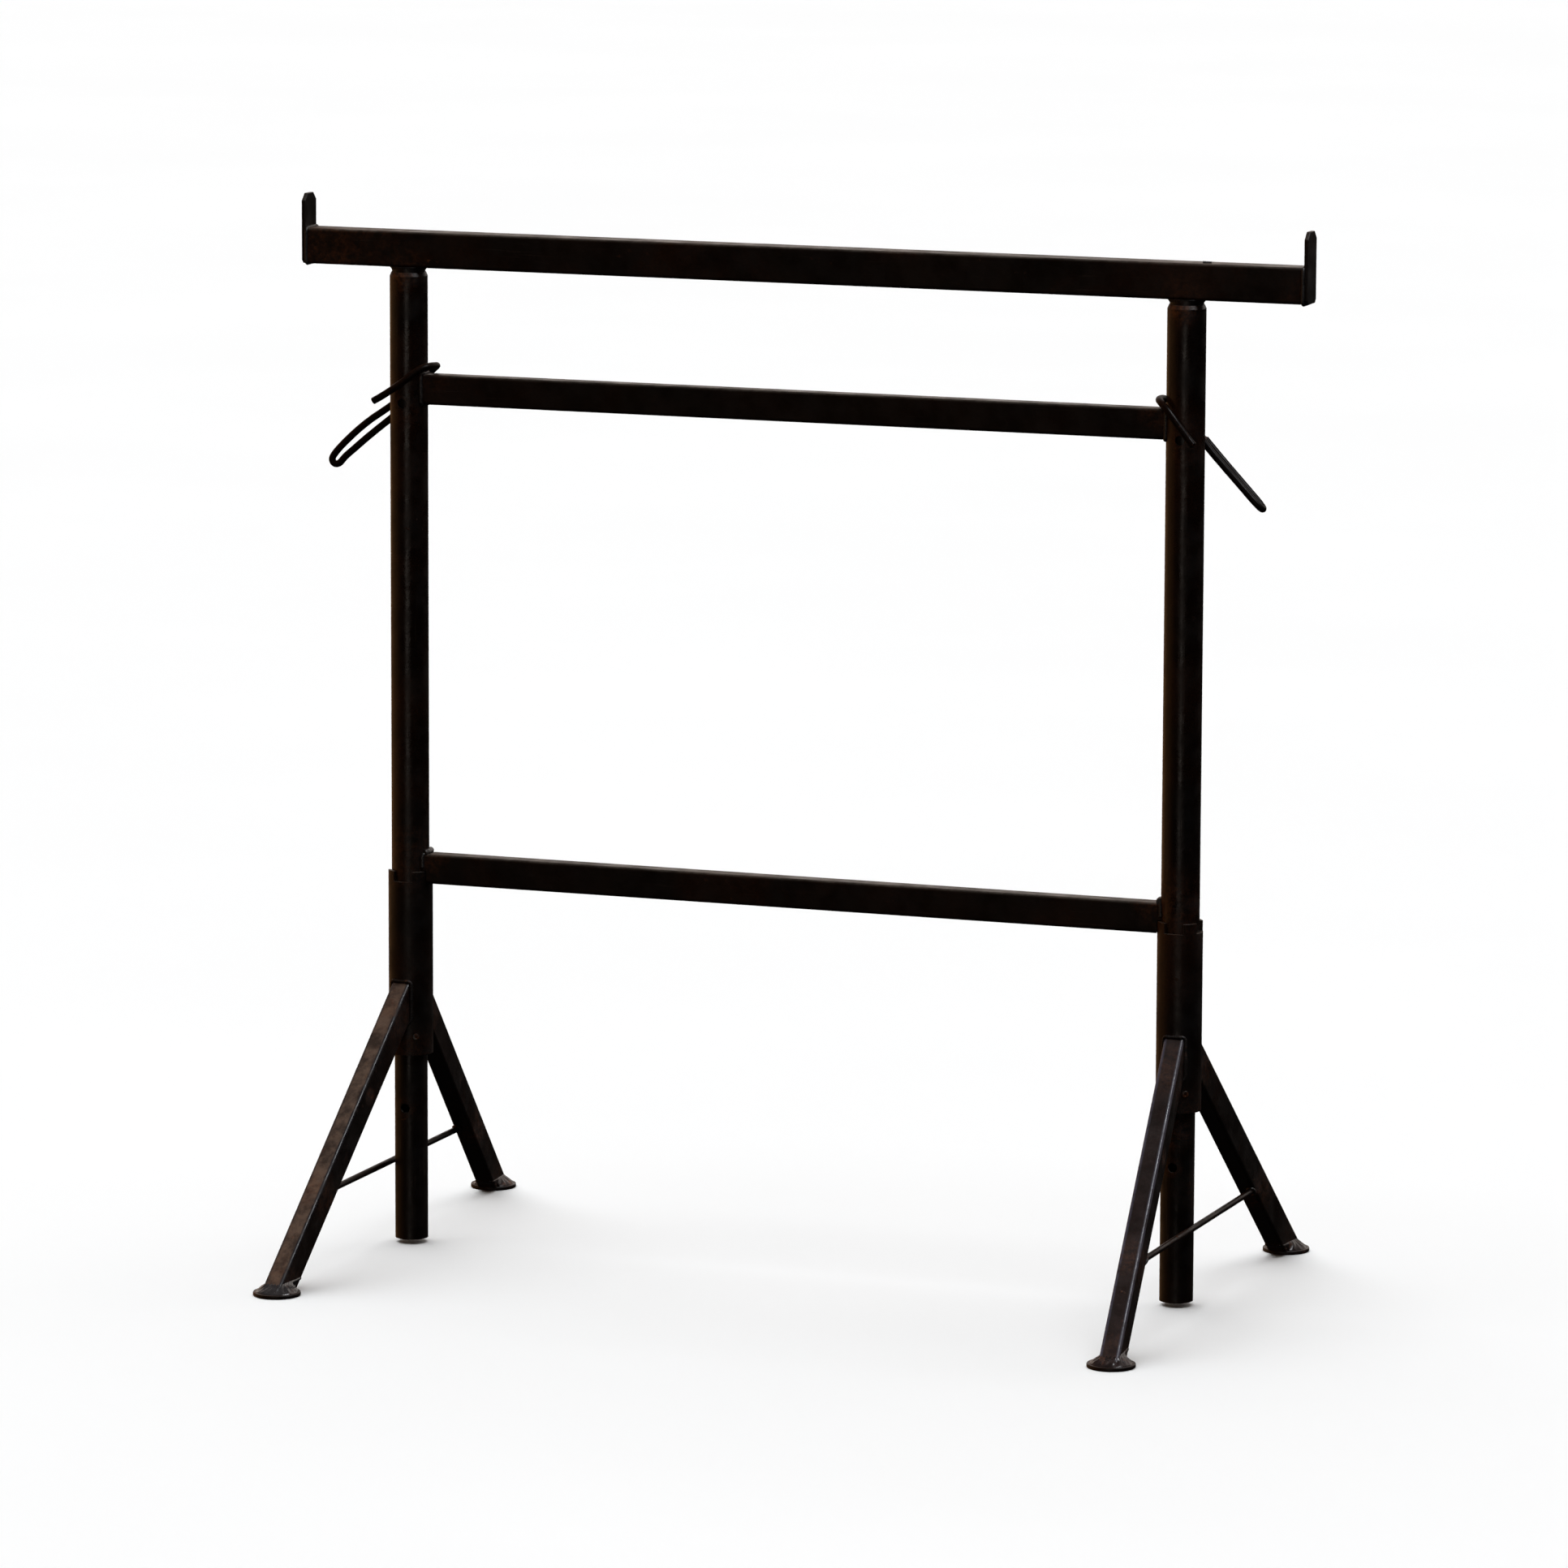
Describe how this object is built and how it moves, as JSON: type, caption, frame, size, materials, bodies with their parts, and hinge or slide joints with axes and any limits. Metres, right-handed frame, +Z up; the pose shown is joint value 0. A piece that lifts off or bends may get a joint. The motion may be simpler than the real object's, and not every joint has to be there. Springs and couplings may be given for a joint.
{
  "type": "folding sawhorse",
  "caption": "Tall steel trestle sawhorse: pinned telescopic T-head with end stops on a two-rail frame, whose splayed feet turn on the posts to fold flat.",
  "frame": {"origin": "on the ground, under the middle of the beam", "axes": "+X along the beam to the right, +Y towards the back, +Z up; -Y is the front"},
  "size_m": [1.337, 0.776, 1.353],
  "materials": {
    "head_steel": "dark brown paint worn to mill scale, dull, with orange rust at the left end",
    "inner_tube_steel": "bare dark steel, browned by rust, polished bands where it slides",
    "frame_steel": "dark brown paint, satin, streaked along the tubes",
    "sleeve_steel": "dark brown, rusty round its welds",
    "leg_steel": "worn grey brown, edges rubbed bright, rust in patches",
    "plate_steel": "rubbed steel, satin",
    "rod_steel": "bent rod, brown with rubbed bright bends",
    "screw_steel": "dull steel"
  },
  "bodies": {
    "frame": {"outer_tube_left": "frame_steel", "outer_tube_right": "frame_steel", "upper_rail": "frame_steel", "lower_rail": "frame_steel"},
    "head": {"head_beam": "head_steel", "end_stop_left": "head_steel", "end_stop_right": "head_steel", "inner_tube_left": "inner_tube_steel", "inner_tube_right": "inner_tube_steel"},
    "left_foot": {"left_sleeve": "sleeve_steel", "left_front_leg": "leg_steel", "left_rear_leg": "leg_steel", "left_front_plate": "plate_steel", "left_rear_plate": "plate_steel", "left_brace_rod": "rod_steel", "left_retaining_screw": "screw_steel"},
    "right_foot": {"right_sleeve": "sleeve_steel", "right_front_leg": "leg_steel", "right_rear_leg": "leg_steel", "right_front_plate": "plate_steel", "right_rear_plate": "plate_steel", "right_brace_rod": "rod_steel", "right_retaining_screw": "screw_steel"},
    "left_pin": {"locking_pin_left": "rod_steel"},
    "right_pin": {"locking_pin_right": "rod_steel"}
  },
  "joints": [
    {"name": "head_slide", "type": "slide", "parent": "frame", "child": "head", "axis": [0, 0, 1], "range_m": [0, 0.9125]},
    {"name": "left_foot_turn", "type": "hinge", "parent": "frame", "child": "left_foot", "pos_m": [-0.5285, 0, 0.3], "axis": [0, 0, 1], "range_deg": [-90, 90]},
    {"name": "right_foot_turn", "type": "hinge", "parent": "frame", "child": "right_foot", "pos_m": [0.5085, 0, 0.3], "axis": [0, 0, 1], "range_deg": [-90, 90]},
    {"name": "left_pin_pull", "type": "slide", "parent": "frame", "child": "left_pin", "axis": [0.7986, 0, 0.6018], "range_m": [0, 0.18]},
    {"name": "right_pin_pull", "type": "slide", "parent": "frame", "child": "right_pin", "axis": [-0.7071, 0, 0.7071], "range_m": [0, 0.15]}
  ]
}
